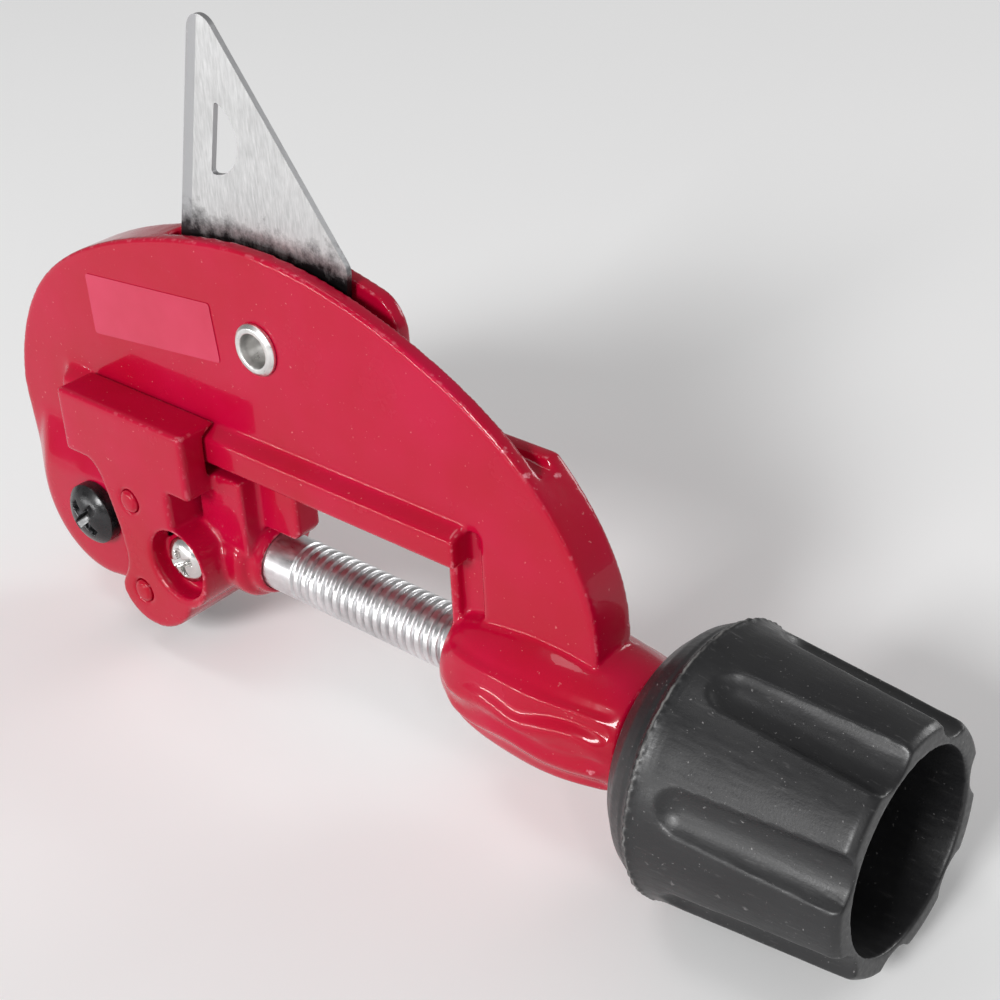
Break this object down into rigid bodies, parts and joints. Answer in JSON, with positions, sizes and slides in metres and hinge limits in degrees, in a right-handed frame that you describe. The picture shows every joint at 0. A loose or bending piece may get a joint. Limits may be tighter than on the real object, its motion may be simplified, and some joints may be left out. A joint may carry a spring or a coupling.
{
  "type": "pipe cutter with folding reamer",
  "caption": "Hand tube cutter: C-shaped frame with rail, slide with rollers on a feed screw, fluted knob, cutter wheel in the jaw and a triangular reamer that folds into the frame.",
  "frame": {"origin": "centre of the reamer rivet's through hole, in the middle of the frame's thickness", "axes": "+X runs parallel to the feed screw towards the knob, +Y goes through the frame's thickness towards the back face, +Z points from the feed screw to the arched back of the frame"},
  "size_m": [0.1752, 0.0412, 0.1107],
  "materials": {
    "frame_enamel": "glossy red enamel over a zinc die casting",
    "slide_enamel": "glossy red enamel over a zinc die casting",
    "pin_enamel": "red enamel over staked steel",
    "screw_zinc": "bright zinc plate over a rolled thread",
    "hard_steel": "hardened spring steel, ground",
    "screw_head_nickel": "bright nickel plate",
    "knob_plastic": "moulded black plastic with a soft sheen",
    "wheel_steel": "hardened alloy steel, ground",
    "axle_black_oxide": "oiled black oxide steel",
    "roller_black_oxide": "oiled black oxide steel",
    "washer_steel": "zinc plate",
    "blade_steel": "rolled stainless sheet, fine grain",
    "rivet_nickel": "bright nickel plate over brass tube",
    "label_film": "clear film sticker, blank"
  },
  "bodies": {
    "frame": {"frame": "frame_enamel", "wheel_axle_screw": "axle_black_oxide", "wheel_washer_front": "washer_steel", "wheel_washer_rear": "washer_steel", "reamer_rivet": "rivet_nickel", "reamer_washer_front": "washer_steel", "reamer_washer_rear": "washer_steel", "blank_label": "label_film"},
    "slide": {"slide": "slide_enamel", "roller_axle_upper": "pin_enamel", "roller_axle_lower": "pin_enamel", "retaining_screw": "screw_head_nickel", "thrust_disc": "hard_steel"},
    "feed": {"feed_screw": "screw_zinc", "knob": "knob_plastic", "knob_retaining_ring": "hard_steel"},
    "roller_upper": {"roller_upper": "roller_black_oxide"},
    "roller_lower": {"roller_lower": "roller_black_oxide"},
    "cutter_wheel": {"cutter_wheel": "wheel_steel"},
    "reamer": {"reamer_blade": "blade_steel"}
  },
  "joints": [
    {"name": "feed_slide", "type": "slide", "parent": "frame", "child": "slide", "axis": [1, 0, 0], "range_m": [0, 0.033]},
    {"name": "screw_spin", "type": "hinge", "parent": "slide", "child": "feed", "pos_m": [0.03657, 0, -0.04136], "axis": [1, 0, 0], "range_deg": [0, 6789]},
    {"name": "roller_upper_spin", "type": "hinge", "parent": "slide", "child": "roller_upper", "pos_m": [-0.02753, 0, -0.03256], "axis": [0, 1, 0], "continuous": true},
    {"name": "roller_lower_spin", "type": "hinge", "parent": "slide", "child": "roller_lower", "pos_m": [-0.02753, 0, -0.05016], "axis": [0, 1, 0], "continuous": true},
    {"name": "wheel_spin", "type": "hinge", "parent": "frame", "child": "cutter_wheel", "pos_m": [-0.04223, 0, -0.04136], "axis": [0, 1, 0], "continuous": true},
    {"name": "reamer_fold", "type": "hinge", "parent": "frame", "child": "reamer", "pos_m": [0, 0, 0], "axis": [0, 1, 0], "range_deg": [-6, 100]}
  ],
  "couplings": [
    {"joint": "screw_spin", "follows": "feed_slide", "rad_per_m": 3590.4}
  ]
}
